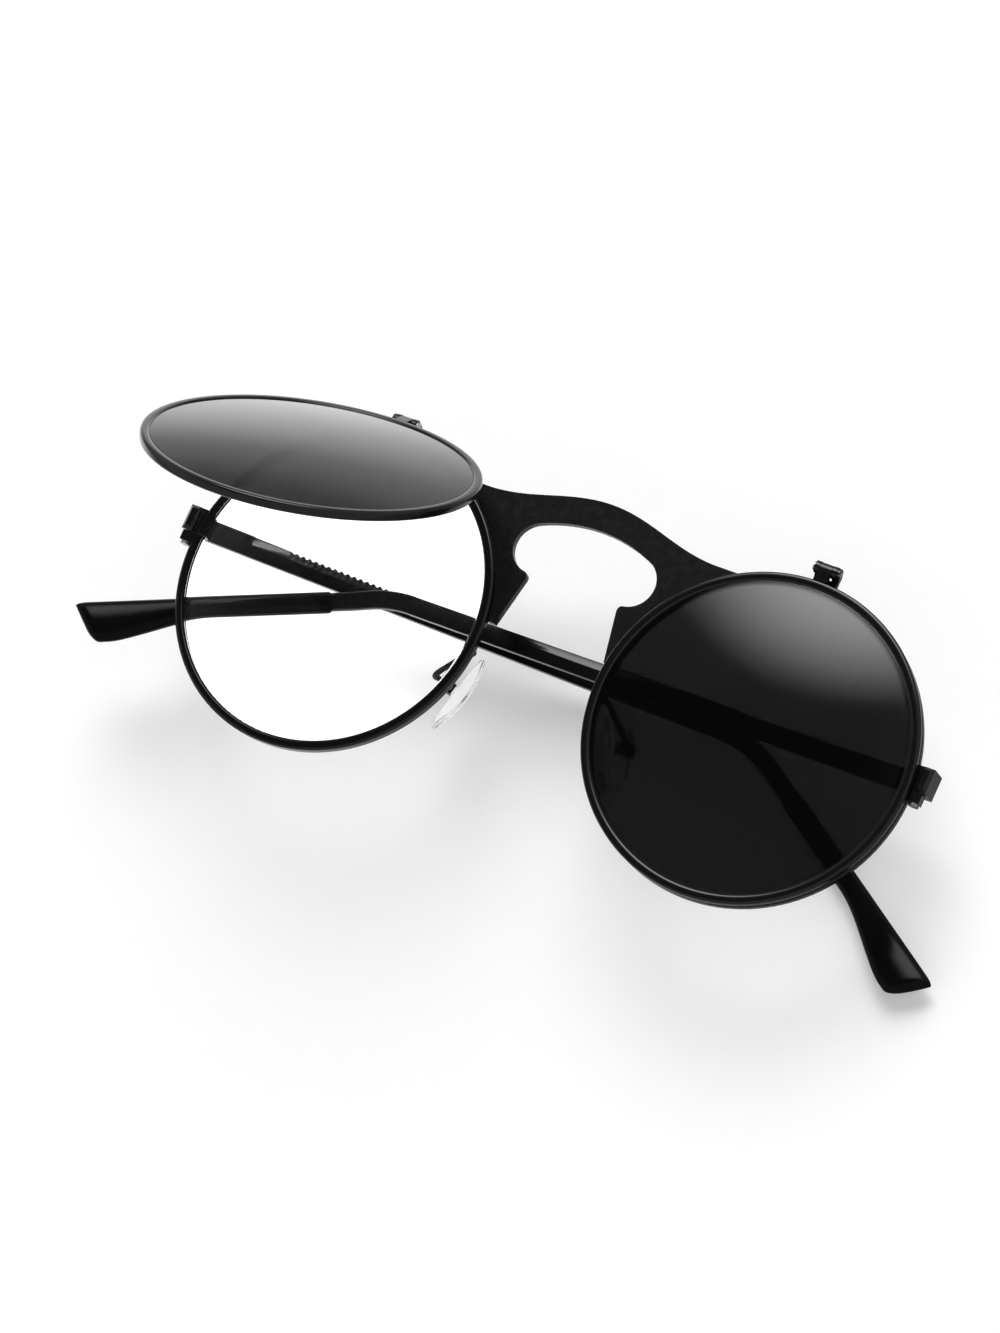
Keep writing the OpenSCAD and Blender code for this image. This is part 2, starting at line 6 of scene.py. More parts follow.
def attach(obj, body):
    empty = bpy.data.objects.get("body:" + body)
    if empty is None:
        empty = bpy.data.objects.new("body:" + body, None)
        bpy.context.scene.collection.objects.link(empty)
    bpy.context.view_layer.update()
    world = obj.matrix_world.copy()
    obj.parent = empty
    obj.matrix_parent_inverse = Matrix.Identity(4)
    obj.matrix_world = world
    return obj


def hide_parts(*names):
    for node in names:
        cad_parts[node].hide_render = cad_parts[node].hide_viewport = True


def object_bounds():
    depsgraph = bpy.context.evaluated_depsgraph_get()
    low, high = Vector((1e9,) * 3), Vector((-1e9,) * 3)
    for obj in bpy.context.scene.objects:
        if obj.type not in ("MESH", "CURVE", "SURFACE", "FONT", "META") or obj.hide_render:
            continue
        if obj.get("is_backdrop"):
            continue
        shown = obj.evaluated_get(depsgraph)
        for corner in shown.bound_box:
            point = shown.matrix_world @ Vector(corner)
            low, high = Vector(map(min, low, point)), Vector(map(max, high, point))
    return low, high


bl_info = {
    "name": "Flip Up Sunglasses",
    "version": (1, 0, 0),
    "blender": (4, 5, 0),
    "location": "View3D > Sidebar > Sunglasses",
    "description": "Dresses round flip up sunglasses with lenses, pads, tips and finishes",
    "category": "Object",
}

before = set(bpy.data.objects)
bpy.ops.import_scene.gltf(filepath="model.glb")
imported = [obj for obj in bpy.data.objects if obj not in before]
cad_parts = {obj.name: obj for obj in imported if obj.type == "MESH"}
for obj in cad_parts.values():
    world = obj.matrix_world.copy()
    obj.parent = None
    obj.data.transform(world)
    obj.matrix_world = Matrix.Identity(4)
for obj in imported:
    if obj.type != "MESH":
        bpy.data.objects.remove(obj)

MM = 0.001
SIDES = {"left": 1, "right": -1}

# Places and sizes of the real parts are in millimetres and degrees, from the middle between the lenses

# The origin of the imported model, the plane of each lens and the radius of each kind of lens
FACE_ORIGIN = np.array([0.0, 24.65, 1.3])
LENS_CENTRE_X = 36.5
LENS_WRAP = 2.8
CLEAR_LENS_RADIUS = 24.6
DARK_LENS_RADIUS = 24.85

# Flip frames: the hinge, measured from the lens, how far each stands open, and the height of a closed rim
FLIP_HINGE = np.array([0.0, 28.2, 1.75])
FLIP_OPEN = {"left": 0.0, "right": 56.2}
FLIP_RIM_Z = 2.0

# Temples: the hinge, how far each folded temple stands open, its bend over the ear, and the turn of its tip
TEMPLE_HINGE = np.array([62.45, 3.4, -4.2])
TEMPLE_OPEN = {"left": 0.8, "right": 6.8}
TEMPLE_BEND = {"left": 24.0, "right": 33.0}
TEMPLE_LENGTH = 93.0
TEMPLE_MIDDLE = 1.75
BEND_RADIUS = 18.0
TURN_RADIUS = 25.0
TIP_TURN = 8.0
TIP_LENGTH = 50.0

# Temple bars: the heights of the two faces, half the width at each end, where the plain part ends, how far
# the ridge lies off the middle, the gap of solder, where the ribs start and end, and how far apart they are
BAR_INSIDE = 1.15
BAR_OUTSIDE = 2.35
BAR_HALF = (1.7, 1.45)
BAR_PLAIN = 7.4
BAR_RIDGE = 0.238
BAR_SOLDER = 0.02
RIBS = (13.0, 33.0)
RIB_PITCH = 1.1

# Nose pads: the middle of the left pad, its turns, how far behind it the pivot lies, and where the arm
# leaves the rim, as an angle round the lens and a distance from its centre
PAD_PLACE = np.array([13.4, -7.1, -7.7])
PAD_LEAN = 14.0
PAD_SPLAY = 22.0
PAD_PIVOT = 2.4
ARM_ANGLE = 183.5
ARM_RIM_REACH = 25.2

# Studio tent: the way to its dark opening and to its bright panel, the cosines between which each fades,
# and how bright the tent, the opening and the panel are
OPENING = (-0.33, 0.1, 0.94)
OPENING_FADE = (0.74, 0.965)
PANEL = (-0.2, 0.67, 0.7)
PANEL_FADE = (0.9, 1.0)
TENT_LEVEL = 0.56
OPENING_LEVEL = 0.05
PANEL_LEVEL = 7.8

# Studio floor: half its length in metres, how far it lies below the glasses, the grey of the paper and how
# far its tooth brightens it, the white that it adds where it is seen straight, and the painted light that it
# adds where it is seen through glass, which lightens the shade under the lenses
FLOOR_HALF = 3.0
FLOOR_GAP = 0.00005
PAPER_COLOR = 0.85
PAPER_TOOTH = 0.015
PAPER_WHITE = 0.22
PAINTED_LIGHT_THROUGH_GLASS = 0.57

# Painted reflection of the floor in gloss: it adds a painted white that fades with the distance in metres
# from a point beside the raised lens, and further off a painted darkening takes a share of the paper's own
# colour
PAINTED_REFLECTION_FROM = (-0.095, -0.03, -0.02)
PAINTED_REFLECTION_WHITE = 0.75
PAINTED_REFLECTION_WHITE_FADE = (0.055, 0.11)
PAINTED_REFLECTION_DARKENING = 0.65
PAINTED_REFLECTION_DARKENING_FADE = (0.07, 0.2)

# Camera: its place in metres, the ways that its right side, its top and its view point, and its lens and
# sensor in millimetres
CAMERA_PLACE = (0.5306, -0.29065, 1.2216)
CAMERA_RIGHT = (0.8644, 0.4099, -0.2911)
CAMERA_UP = (-0.3119, 0.8913, 0.3291)
CAMERA_AHEAD = (-0.3943, 0.1937, -0.8983)
CAMERA_LENS = 243.06
CAMERA_SENSOR = 36


# Places and turns


def moved(x, y, z):
    """A 4x4 matrix that moves a point."""
    matrix = np.eye(4)
    matrix[:3, 3] = (x, y, z)
    return matrix


def turned(axis, degrees):
    """A 4x4 matrix that turns a point about the X, Y or Z axis."""
    return np.array(Matrix.Rotation(np.radians(degrees), 4, axis))


def lens_place():
    """The turned plane of the left lens, with the lens centre at zero."""
    return moved(LENS_CENTRE_X, 0, 0) @ turned("Y", LENS_WRAP)


def flip_place(side):
    """The plane of a flip rim, turned up about its hinge to where it stands at rest."""
    to_hinge = moved(*FLIP_HINGE)
    opened = to_hinge @ turned("X", -FLIP_OPEN[side]) @ moved(*-FLIP_HINGE)
    return lens_place() @ opened @ moved(0, 0, FLIP_RIM_Z)


def temple_place(side):
    """The folded temple, with its hinge at zero and X along its bar."""
    return moved(*TEMPLE_HINGE) @ turned("Y", 180 - TEMPLE_OPEN[side])


def bend_start(side):
    """Where a temple's bend starts: its length less the bend's radius times the tangent of half the bend."""
    return TEMPLE_LENGTH - BEND_RADIUS * np.tan(np.radians(TEMPLE_BEND[side] / 2))


def tip_place(side):
    """The end of a temple after its bend and its turn, with X along the tip."""
    bent = turned("Z", -TEMPLE_BEND[side])
    after_bend = moved(bend_start(side), -BEND_RADIUS, TEMPLE_MIDDLE) @ bent @ moved(0, BEND_RADIUS, 0)
    after_turn = moved(0, 0, -TURN_RADIUS) @ turned("Y", TIP_TURN) @ moved(0, 0, TURN_RADIUS)
    return temple_place(side) @ after_bend @ after_turn


def pad_place():
    """The left nose pad, with its back at +X, its top at +Y and its front edge at +Z."""
    return moved(*PAD_PLACE) @ turned("Z", PAD_LEAN) @ turned("Y", -PAD_SPLAY)


def placed(points, matrix, side):
    """Takes points in millimetres through a matrix, mirrors them for the right side and gives metres."""
    flat = points.reshape(-1, 3)
    world = flat @ matrix[:3, :3].T + matrix[:3, 3]
    world[:, 0] *= SIDES[side]
    return ((world - FACE_ORIGIN) * MM).reshape(points.shape)


# Surfaces


def around(count):
    """Equal angles once round."""
    return np.linspace(0, 2 * np.pi, count, endpoint=False)


def rounded(angles, half_u, half_v, power):
    """A superellipse.

    Each coordinate is its half size times the cosine or the sine, which is raised to 2 over the power and
    keeps its sign.
    """
    cosine, sine = np.cos(angles), np.sin(angles)
    u = half_u * np.sign(cosine) * np.abs(cosine) ** (2 / power)
    v = half_v * np.sign(sine) * np.abs(sine) ** (2 / power)
    return u, v


def skin(rings, loop=False, fan=True):
    """Joins a stack of closed rings with quads into a closed shell whose faces point outwards.

    The ends are closed by a fan to the ring's mean or by one flat face, or are joined up in a loop. The
    faces are turned round if the sum of the quads' triple products is negative, which is six times the
    volume that the quads enclose with the origin.
    """
    count, size = rings.shape[:2]
    verts = rings.reshape(-1, 3)
    i = np.arange(count if loop else count - 1)[:, None]
    j = np.arange(size)[None, :]
    k = (j + 1) % size
    after = (i + 1) % count
    quads = np.stack([i * size + j, i * size + k, after * size + k, after * size + j], -1).reshape(-1, 4)
    faces = quads.tolist()
    last = (count - 1) * size
    if not loop and fan:
        verts = np.vstack([verts, rings[0].mean(0), rings[-1].mean(0)])
        j, k = j[0], k[0]
        low = np.stack([k, j, np.full(size, count * size)], -1)
        high = np.stack([last + j, last + k, np.full(size, count * size + 1)], -1)
        faces += low.tolist() + high.tolist()
    elif not loop:
        faces += [list(range(size))[::-1], list(range(last, last + size))]
    corners = verts[quads]
    volume = sum(
        np.einsum("ij,ij->i", corners[:, 0], np.cross(corners[:, a], corners[:, a + 1])).sum()
        for a in (1, 2)
    )
    if volume < 0:
        faces = [face[::-1] for face in faces]
    return verts, faces


def wire_ring(radius, width, depth, matrix, side):
    """A ring of rim wire: a superellipse of the wire's width and depth, carried round a circle."""
    section_power = 3.4
    turn, section = around(256)[:, None], around(40)[None, :]
    u, v = rounded(section, width / 2, depth / 2, section_power)
    reach = radius - width / 2 + u
    rings = np.stack([reach * np.cos(turn), reach * np.sin(turn), v + 0 * turn], -1)
    return skin(placed(rings, matrix, side), loop=True)


def domed_lens(radius, thickness, dome, matrix, side):
    """A lens with a half round edge.

    Its height falls with the square of the distance from the middle over twice the dome's radius. At the
    edge the sine gives the step outwards, and one minus the cosine how far front and back come together.
    """
    edge, first_ring = 0.3, 0.5
    sag = radius**2 / (2 * dome)
    turn = np.linspace(0, np.pi / 2, 7)
    inner = np.linspace(first_ring, radius - edge, 28)
    reach = np.concatenate([inner, radius - edge + edge * np.sin(turn)])
    closing = np.concatenate([np.zeros(len(inner)), (thickness / 2) * (1 - np.cos(turn))])
    front = sag + thickness / 2 - reach**2 / (2 * dome) - closing
    back = front - thickness + 2 * closing
    r = np.concatenate([reach, reach[:-1][::-1]])[:, None]
    z = np.concatenate([front, back[:-1][::-1]])[:, None]
    angle = around(160)[None, :]
    rings = np.stack([r * np.cos(angle), r * np.sin(angle), z + 0 * angle], -1)
    verts, faces = skin(placed(rings, matrix, side))
    poles = np.array([[0, 0, sag + thickness / 2], [0, 0, sag - thickness / 2]])
    verts[-2:] = placed(poles, matrix, side)
    return verts, faces


def smooth_path(points, count):
    """A curve through points, in cubics whose slope at a point is half the step between its neighbours."""
    padded = np.vstack([2 * points[0] - points[1], points, 2 * points[-1] - points[-2]])
    steps = np.linspace(0, len(points) - 1, count)
    low = np.minimum(steps.astype(int), len(points) - 2)
    t = (steps - low)[:, None]
    a, b, c, d = (padded[low + shift] for shift in range(4))
    return 0.5 * (2 * b + (c - a) * t + (2 * a - 5 * b + 4 * c - d) * t**2 + (3 * b - a - 3 * c + d) * t**3)


def tube(path, radii, matrix, side):
    """A round wire: a circle square to the path at each point, on its cross product with one guide."""
    guide = np.array([0.31, 0.2, 0.93])
    along = np.gradient(path, axis=0)
    along /= np.linalg.norm(along, axis=1, keepdims=True)
    first = np.cross(along, guide)
    first /= np.linalg.norm(first, axis=1, keepdims=True)
    second = np.cross(along, first)
    angle = around(20)[None, :, None]
    ring = np.cos(angle) * first[:, None] + np.sin(angle) * second[:, None]
    return skin(placed(path[:, None] + radii[:, None, None] * ring, matrix, side))


def softened(corners, cut):
    """Cuts each corner off a stack of outlines at points a and b, with a/4 + corner/2 + b/4 between them."""
    before = np.roll(corners, 1, axis=1) - corners
    after = np.roll(corners, -1, axis=1) - corners
    a = corners + cut * before / np.linalg.norm(before, axis=2, keepdims=True)
    b = corners + cut * after / np.linalg.norm(after, axis=2, keepdims=True)
    middle = a / 4 + corners / 2 + b / 4
    return np.stack([a, middle, b], 2).reshape(len(corners), -1, 2)


def temple_bar(side, depth):
    """A temple bar with ribs along its upper edge.

    Its five-sided section tapers evenly from the hinge to the bend. Beyond the plain part the inner face
    slopes away on both sides of a ridge. The ribs cut the upper edge by half of one plus a cosine, and fade
    in and out.
    """
    upper_slope, lower_slope = 0.45, 0.1
    rib_fade, rib_lean, corner_cut = 1.5, 0.8, 0.1
    length = bend_start(side) - BAR_SOLDER
    first, last = RIBS
    u = np.concatenate(
        [
            np.linspace(0.05, BAR_PLAIN, 12),
            np.linspace(BAR_PLAIN + 0.03, first, 16)[:-1],
            np.linspace(first, last, 290),
            np.linspace(last, length, 40)[1:],
        ]
    )
    half = BAR_HALF[0] + (BAR_HALF[1] - BAR_HALF[0]) * u / length
    faded = np.clip((u - first) / rib_fade, 0, 1) * np.clip((last - u) / rib_fade, 0, 1)
    rib = faded * (1 + np.cos(2 * np.pi * (u - first) / RIB_PITCH)) / 2
    sloped = (u > BAR_PLAIN).astype(float)
    upper = BAR_INSIDE + sloped * upper_slope * (half - BAR_RIDGE) / (BAR_HALF[0] - BAR_RIDGE)
    lower = BAR_INSIDE + sloped * lower_slope * (half + BAR_RIDGE) / (BAR_HALF[0] + BAR_RIDGE)
    edge = half - depth * rib
    outside = np.full(len(u), BAR_OUTSIDE)
    corners = np.stack(
        [
            np.stack([-half, outside], -1),
            np.stack([edge, outside], -1),
            np.stack([edge, upper + rib_lean * depth * rib], -1),
            np.stack([np.full(len(u), BAR_RIDGE), np.full(len(u), BAR_INSIDE)], -1),
            np.stack([-half, lower], -1),
        ],
        1,
    )
    outline = softened(corners, corner_cut)
    rings = np.stack([np.broadcast_to(u[:, None], outline.shape[:2]), outline[..., 0], outline[..., 1]], -1)
    return skin(placed(rings, temple_place(side), side), fan=False)


def temple_tip(side, width, thickness):
    """A plastic tip from the edge of its sleeve to its slanted end.

    Its sections are superellipses under a level top. Over the flare, where t runs from 0 to 1, the lower
    edge drops by 3t^2 - 2t^3. Near the end the section leans back with the square of the distance. Both
    ends are closed by a quarter turn: sine or cosine give the step along the tip, and the edges come in by
    what is left of one.
    """
    section_power = 2.15
    top, neck = 1.65, 3.4
    start, round_in, round_out = 2.03, 0.7, 2.2
    lip, top_cut, low_cut, side_cut = 0.5, 0.5, 2.2, 1.1
    flare_start, flare_length = 22, 18
    slant, slant_length = 3.0, 12
    used = BEND_RADIUS * np.tan(np.radians(TEMPLE_BEND[side]) / 2) + TURN_RADIUS * np.radians(TIP_TURN)
    end = TIP_LENGTH - used
    turn_in = np.linspace(0, np.pi / 2, 8)[:-1]
    turn_out = np.linspace(0, np.pi / 2, 14)[1:]
    u = np.concatenate(
        [
            start + round_in * (1 - np.cos(turn_in)),
            np.linspace(start + round_in, end - round_out, 70),
            end - round_out + round_out * np.sin(turn_out),
        ]
    )
    opening, closing = np.zeros(len(u)), np.zeros(len(u))
    opening[: len(turn_in)] = lip * (1 - np.sin(turn_in))
    closing[-len(turn_out) :] = 1 - np.cos(turn_out)
    flare = np.clip((u - (end - flare_start)) / flare_length, 0, 1)
    drop = neck + (width - neck) * (3 * flare**2 - 2 * flare**3)
    high = top - opening - top_cut * closing
    low = top - drop + opening + low_cut * closing
    half_thick = thickness / 2 - opening - side_cut * closing
    w, v = rounded(around(56)[None, :], 1, 1, section_power)
    v = (high + low)[:, None] / 2 + (high - low)[:, None] / 2 * v
    w = half_thick[:, None] * w
    near_end = np.clip((u - (end - slant_length)) / slant_length, 0, 1)[:, None]
    back = slant * np.clip((top - v) / width, 0, 1) * near_end**2
    return skin(placed(np.stack([u[:, None] - back, v, w], -1), tip_place(side), side))


def nose_pad(side, length, width, thickness):
    """A soft pad with its lug.

    Superelliptic rings grow over the domed front to the rim, turn round it by a half circle, come in over
    the flat back while they turn into the lug's square, and rise as the lug's wall. The front is set back
    by the square of the distance from its middle over twice the dome's radius.
    """
    outline_power, taper, dome = 2.8, 0.06, 18
    rim, bulge = 0.93, 0.07
    lug_half, lug_power = 3.1, 4
    lug_scale = [0.27, 0.235, 0.225, 0.22, 0.22, 0.2, 0.16, 0.08]
    lug_rise = [0.05, 0.16, 0.4, 0.8, 1.55, 1.92, 2.05, 2.1]
    front = np.linspace(0.06, rim, 16)
    turn = np.linspace(0, np.pi, 14)[1:-1]
    back = np.linspace(rim, 0.34, 9)
    scale = np.concatenate([front, rim + bulge * np.sin(turn), back, lug_scale])[:, None]
    on_back = np.ones(len(back) + len(lug_scale))
    behind = np.concatenate([np.zeros(len(front)), (1 - np.cos(turn)) / 2, on_back])[:, None]
    rise = np.concatenate([np.zeros(len(scale) - len(lug_rise)), lug_rise])[:, None]
    before_back = np.zeros(len(front) + len(turn))
    into_lug = np.linspace(0, 1, len(back)) ** 2
    squared = np.concatenate([before_back, into_lug, np.ones(len(lug_scale))])[:, None]
    angle = around(72)[None, :]
    wide, high = rounded(angle, width / 2, length / 2, outline_power)
    wide = wide * (1 - taper * high / (length / 2))
    lug_wide, lug_high = rounded(angle, lug_half, lug_half, lug_power)
    z = scale * ((1 - squared) * wide + squared * lug_wide)
    y = scale * ((1 - squared) * high + squared * lug_high)
    domed = -thickness / 2 + (y**2 + z**2) / (2 * dome)
    x = domed * (1 - behind) + (thickness / 2) * behind + rise
    return skin(placed(np.stack([x, y, z], -1), pad_place(), side))


def arm_box(side):
    """The open box that holds a pad: a U with cut corners, carried across its lug, with drawn-in ends."""
    outer, inner, corner, tuck = 1.3, 0.8, 0.18, 0.965
    front, floor, back = PAD_PIVOT - 0.9, PAD_PIVOT + 1.08, PAD_PIVOT + 1.3
    outline = np.array(
        [
            [front, -outer],
            [back - corner, -outer],
            [back, -outer + corner],
            [back, outer - corner],
            [back - corner, outer],
            [front, outer],
            [front, inner],
            [floor, inner],
            [floor, -inner],
            [front, -inner],
        ]
    )
    heights = np.array([-0.9, -0.84, 0.84, 0.9])
    drawn_in = np.array([tuck, 1, 1, tuck])
    centre = outline.mean(0)
    flat = centre + (outline - centre)[None] * drawn_in[:, None, None]
    y = np.broadcast_to(heights[:, None], flat.shape[:2])
    return skin(placed(np.stack([flat[..., 0], y, flat[..., 1]], -1), pad_place(), side), fan=False)


def pad_arm(side, radius):
    """An arm: a wire from the back of the rim through a loop to the box.

    It is thicker where it is soldered, by a bell curve of the distance, and closes at the box with the
    square root of a cosine.
    """
    solder, solder_length = 0.22, 0.06
    count, closing = 60, 6
    angle = np.radians(ARM_ANGLE)
    start = np.array([LENS_CENTRE_X + ARM_RIM_REACH * np.cos(angle), ARM_RIM_REACH * np.sin(angle), 0.15])
    box = PAD_PLACE + np.array([2.9, 0.7, 1.6])
    points = np.stack(
        [
            start + [0.2, -0.1, -0.5],
            start + [1.2, -0.6, -2.2],
            start + [3.8, -3.0, -3.0],
            box + [0.6, 0.2, 2.2],
            box + [0.25, 0.1, 0.6],
        ]
    )
    along = np.linspace(0, 1, count)
    radii = radius + solder * np.exp(-((along / solder_length) ** 2))
    radii[-closing:] *= np.cos(np.linspace(0, 1.2, closing)) ** 0.5
    return tube(smooth_path(points, count), radii, np.eye(4), side)


# Shader nodes


def add(tree, kind, **settings):
    """A node with its settings, and its unlinked inputs given as in_0, in_1 and so on."""
    node = tree.nodes.new(kind)
    for key, value in settings.items():
        if key.startswith("in_"):
            node.inputs[int(key[3:])].default_value = value
        else:
            setattr(node, key, value)
    return node


def feed(tree, value, socket):
    """Gives a socket a number, or links another socket to it."""
    if isinstance(value, (int, float)):
        socket.default_value = value
    else:
        tree.links.new(value, socket)


def noise(tree, place, scale, detail=3.0, roughness=0.55):
    """A noise texture on a place."""
    node = add(tree, "ShaderNodeTexNoise")
    node.inputs["Detail"].default_value = detail
    node.inputs["Roughness"].default_value = roughness
    tree.links.new(place, node.inputs["Vector"])
    feed(tree, scale, node.inputs["Scale"])
    return node.outputs["Fac"]


def calc(tree, operation, a, b, clamp=False):
    """A math node on two sockets or numbers."""
    node = add(tree, "ShaderNodeMath", operation=operation, use_clamp=clamp)
    feed(tree, a, node.inputs[0])
    feed(tree, b, node.inputs[1])
    return node.outputs[0]


def spread(tree, value, low, high, to_low=0.0, to_high=1.0):
    """Maps a value from one range to another, smoothly and within the ends."""
    node = add(tree, "ShaderNodeMapRange", interpolation_type="SMOOTHSTEP")
    for index, given in enumerate((value, low, high, to_low, to_high)):
        feed(tree, given, node.inputs[index])
    return node.outputs[0]


def grey(tree, level):
    """The grey colour of a level."""
    joined = add(tree, "ShaderNodeCombineColor")
    for index in range(3):
        tree.links.new(level, joined.inputs[index])
    return joined.outputs[0]


def mixed(tree, mask, base, other):
    """The base colour, with the other colour where the mask is strong."""
    node = add(tree, "ShaderNodeMix", data_type="RGBA")
    if isinstance(base, tuple):
        node.inputs["A"].default_value = (*base, 1)
    else:
        tree.links.new(base, node.inputs["A"])
    node.inputs["B"].default_value = (*other, 1)
    tree.links.new(mask, node.inputs["Factor"])
    return node.outputs["Result"]


def bumped(tree, height, strength):
    """A bump of a height, a hundredth of a millimetre deep at full strength."""
    node = add(tree, "ShaderNodeBump")
    node.inputs["Strength"].default_value = strength
    node.inputs["Distance"].default_value = 0.01 * MM
    tree.links.new(height, node.inputs["Height"])
    return node.outputs["Normal"]


# Shared effects, as groups of shader nodes


def new_group(name, inputs, outputs):
    """An empty shader node group with named sockets, and its input and output nodes."""
    group = bpy.data.node_groups.new(name, "ShaderNodeTree")
    for label, default in inputs:
        socket = group.interface.new_socket(name=label, in_out="INPUT", socket_type="NodeSocketFloat")
        socket.default_value = default
    for label in outputs:
        group.interface.new_socket(name=label, in_out="OUTPUT", socket_type="NodeSocketFloat")
    return group, group.nodes.new("NodeGroupInput"), group.nodes.new("NodeGroupOutput")


def fine_grain():
    """Group: fine grain of plating or polish, as a value and as a height."""
    group, given, result = new_group("Fine Grain", [("Scale", 900.0), ("Streak", 0.3)], ["Grain", "Height"])
    place = add(group, "ShaderNodeTexCoord").outputs["Object"]
    fine = noise(group, place, given.outputs["Scale"], 4.0)
    coarse = noise(group, place, calc(group, "MULTIPLY", given.outputs["Scale"], 0.18), 2.0)
    grain = calc(group, "ADD", calc(group, "MULTIPLY", fine, 0.6), calc(group, "MULTIPLY", coarse, 0.4))
    group.links.new(grain, result.inputs["Grain"])
    waves = calc(group, "MULTIPLY", coarse, given.outputs["Streak"])
    group.links.new(calc(group, "ADD", fine, waves), result.inputs["Height"])
    return group


def edge_wear():
    """Group: where paint or plating rubs thin, along convex edges and broken up by noise."""
    group, given, result = new_group("Edge Wear", [("Amount", 0.5), ("Scale", 700.0)], ["Mask"])
    place = add(group, "ShaderNodeTexCoord").outputs["Object"]
    pointed = add(group, "ShaderNodeNewGeometry").outputs["Pointiness"]
    edges = spread(group, pointed, 0.53, 0.62)
    broken = spread(group, noise(group, place, given.outputs["Scale"], 5.0), 0.42, 0.66)
    rubbed = calc(group, "MULTIPLY", edges, broken)
    mask = calc(group, "MULTIPLY", rubbed, given.outputs["Amount"], clamp=True)
    group.links.new(mask, result.inputs["Mask"])
    return group


def smudges():
    """Group: soft wiped patches and small specks of dust, each as a mask."""
    group, given, result = new_group("Smudges", [("Scale", 60.0), ("Amount", 0.5)], ["Patches", "Specks"])
    place = add(group, "ShaderNodeTexCoord").outputs["Object"]
    wiped = spread(group, noise(group, place, given.outputs["Scale"], 3.0, 0.6), 0.45, 0.72)
    group.links.new(calc(group, "MULTIPLY", wiped, given.outputs["Amount"]), result.inputs["Patches"])
    dots = add(group, "ShaderNodeTexVoronoi", feature="F1")
    group.links.new(place, dots.inputs["Vector"])
    group.links.new(calc(group, "MULTIPLY", given.outputs["Scale"], 9.0), dots.inputs["Scale"])
    near = spread(group, dots.outputs["Distance"], 0.05, 0.12, 1.0, 0.0)
    clouds = noise(group, place, calc(group, "MULTIPLY", given.outputs["Scale"], 4.0), 1.0)
    sparse = spread(group, clouds, 0.56, 0.6)
    specks = calc(group, "MULTIPLY", calc(group, "MULTIPLY", near, sparse), given.outputs["Amount"])
    group.links.new(specks, result.inputs["Specks"])
    return group


def effect(tree, name, **values):
    """Places a shared effect with its own values in a material, and makes its group at the first use."""
    makers = {"Fine Grain": fine_grain, "Edge Wear": edge_wear, "Smudges": smudges}
    group = bpy.data.node_groups.get(name) or makers[name]()
    node = add(tree, "ShaderNodeGroup", node_tree=group)
    for label, value in values.items():
        node.inputs[label].default_value = value
    return node


# Materials


def started(name):
    """A material with its node tree, its shader and its output."""
    material = bpy.data.materials.new(name)
    material.use_nodes = True
    tree = material.node_tree
    return material, tree, tree.nodes["Principled BSDF"], tree.nodes["Material Output"]


def coated(label, color, roughness, grain_scale, bump, wear_color, wear, specular=0.5, metallic=0.0):
    """A coat, moulded plastic or bare metal, with grain, wiped patches, worn edges and specks of dust."""
    dust_color, dust = (0.25, 0.24, 0.23), 0.12
    patch_gain, wear_gain = 0.025, 0.05
    material, tree, shader, _ = started(label)
    grain = effect(tree, "Fine Grain", Scale=grain_scale, Streak=0.5)
    worn = effect(tree, "Edge Wear", Amount=wear).outputs["Mask"]
    wiped = effect(tree, "Smudges", Scale=70.0, Amount=0.5)
    paint = mixed(tree, worn, tuple(color), wear_color)
    dusty = mixed(tree, calc(tree, "MULTIPLY", wiped.outputs["Specks"], dust), paint, dust_color)
    tree.links.new(dusty, shader.inputs["Base Color"])
    rough = spread(tree, grain.outputs["Grain"], 0.3, 0.7, roughness * 0.96, roughness * 1.05)
    rough = calc(tree, "ADD", rough, calc(tree, "MULTIPLY", wiped.outputs["Patches"], patch_gain))
    rough = calc(tree, "ADD", rough, calc(tree, "MULTIPLY", worn, wear_gain), clamp=True)
    tree.links.new(rough, shader.inputs["Roughness"])
    tree.links.new(bumped(tree, grain.outputs["Height"], bump), shader.inputs["Normal"])
    shader.inputs["Metallic"].default_value = metallic
    shader.inputs["Specular IOR Level"].default_value = specular
    return material


def glass(label, color, roughness, ior, patch_gain, bump, light_level):
    """A see-through material that lets the light of the sky through, with wiped patches in its gloss."""
    material, tree, shader, output = started(label)
    shader.inputs["Base Color"].default_value = (*color, 1)
    shader.inputs["Transmission Weight"].default_value = 1.0
    shader.inputs["IOR"].default_value = ior
    wiped = effect(tree, "Smudges", Scale=45.0, Amount=1.0)
    grain = effect(tree, "Fine Grain", Scale=350.0, Streak=1.0)
    patches = calc(tree, "MULTIPLY", wiped.outputs["Patches"], patch_gain)
    tree.links.new(calc(tree, "ADD", patches, roughness, clamp=True), shader.inputs["Roughness"])
    tree.links.new(bumped(tree, grain.outputs["Height"], bump), shader.inputs["Normal"])
    clear = add(tree, "ShaderNodeBsdfTransparent")
    clear.inputs["Color"].default_value = (light_level, light_level, light_level, 1)
    mix = add(tree, "ShaderNodeMixShader")
    light = add(tree, "ShaderNodeLightPath")
    tree.links.new(light.outputs["Is Shadow Ray"], mix.inputs[0])
    tree.links.new(shader.outputs[0], mix.inputs[1])
    tree.links.new(clear.outputs[0], mix.inputs[2])
    tree.links.new(mix.outputs[0], output.inputs["Surface"])
    return material


def black_metal(label, looks):
    """The gloss black coat of the wires, end pieces, hinges and temples."""
    return coated(
        label,
        looks.metal_color,
        looks.metal_roughness,
        grain_scale=1500.0,
        bump=0.05,
        wear_color=(0.04, 0.039, 0.038),
        wear=0.15,
        specular=0.38,
    )


def plate(label, looks):
    """The more matt black coat of the bridge."""
    return coated(
        label,
        looks.metal_color,
        looks.plate_roughness,
        grain_scale=2600.0,
        bump=0.08,
        wear_color=(0.03, 0.029, 0.028),
        wear=0.15,
        specular=0.22,
    )


